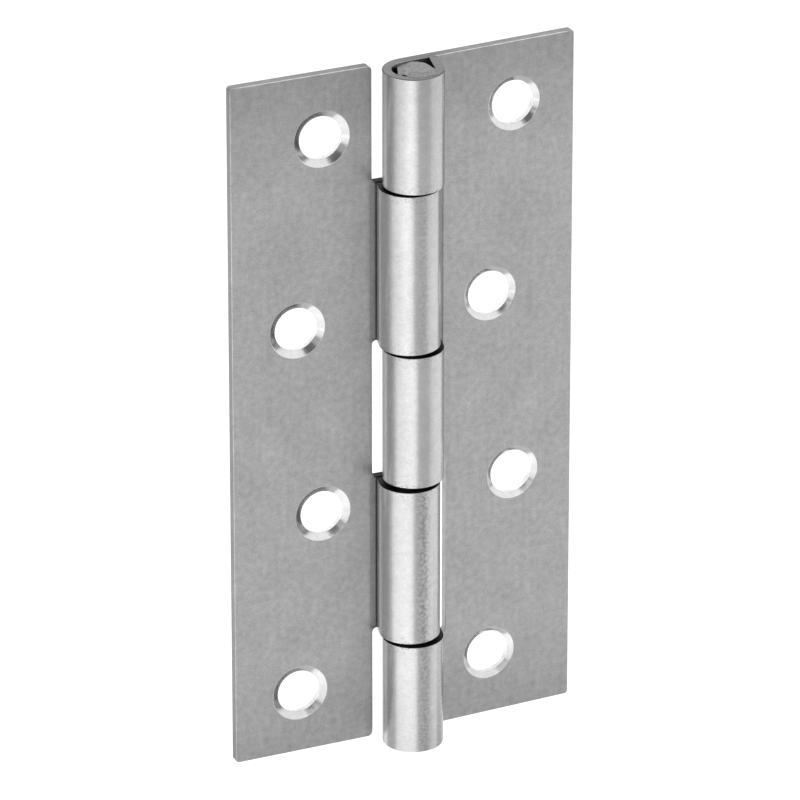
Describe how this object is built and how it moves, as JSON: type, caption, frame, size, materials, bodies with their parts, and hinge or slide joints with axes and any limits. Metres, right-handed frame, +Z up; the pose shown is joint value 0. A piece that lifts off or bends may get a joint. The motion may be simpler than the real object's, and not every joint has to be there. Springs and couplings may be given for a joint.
{
  "type": "butt hinge",
  "caption": "Narrow rolled steel butt hinge with a loose wire pin and staggered countersunk screw holes, lying open.",
  "frame": {"origin": "on the pin's axis, at mid height of the frame leaf", "axes": "+Z up along the pin, +X out along the frame leaf, +Y out of the frame leaf's back; the countersinks open to -Y"},
  "size_m": [0.051, 0.0095, 0.1001],
  "materials": {
    "leaf_steel": "dull rolled mild steel, tumbled, with fine pits and scratches",
    "pin_steel": "drawn steel wire with a rough staked end"
  },
  "bodies": {
    "frame_side": {"frame_leaf": "leaf_steel", "hinge_pin": "pin_steel"},
    "door_side": {"door_leaf": "leaf_steel"}
  },
  "joints": [
    {"name": "door_swing", "type": "hinge", "parent": "frame_side", "child": "door_side", "pos_m": [0, 0, 0], "axis": [0, 0, 1], "range_deg": [-85, 190]}
  ]
}
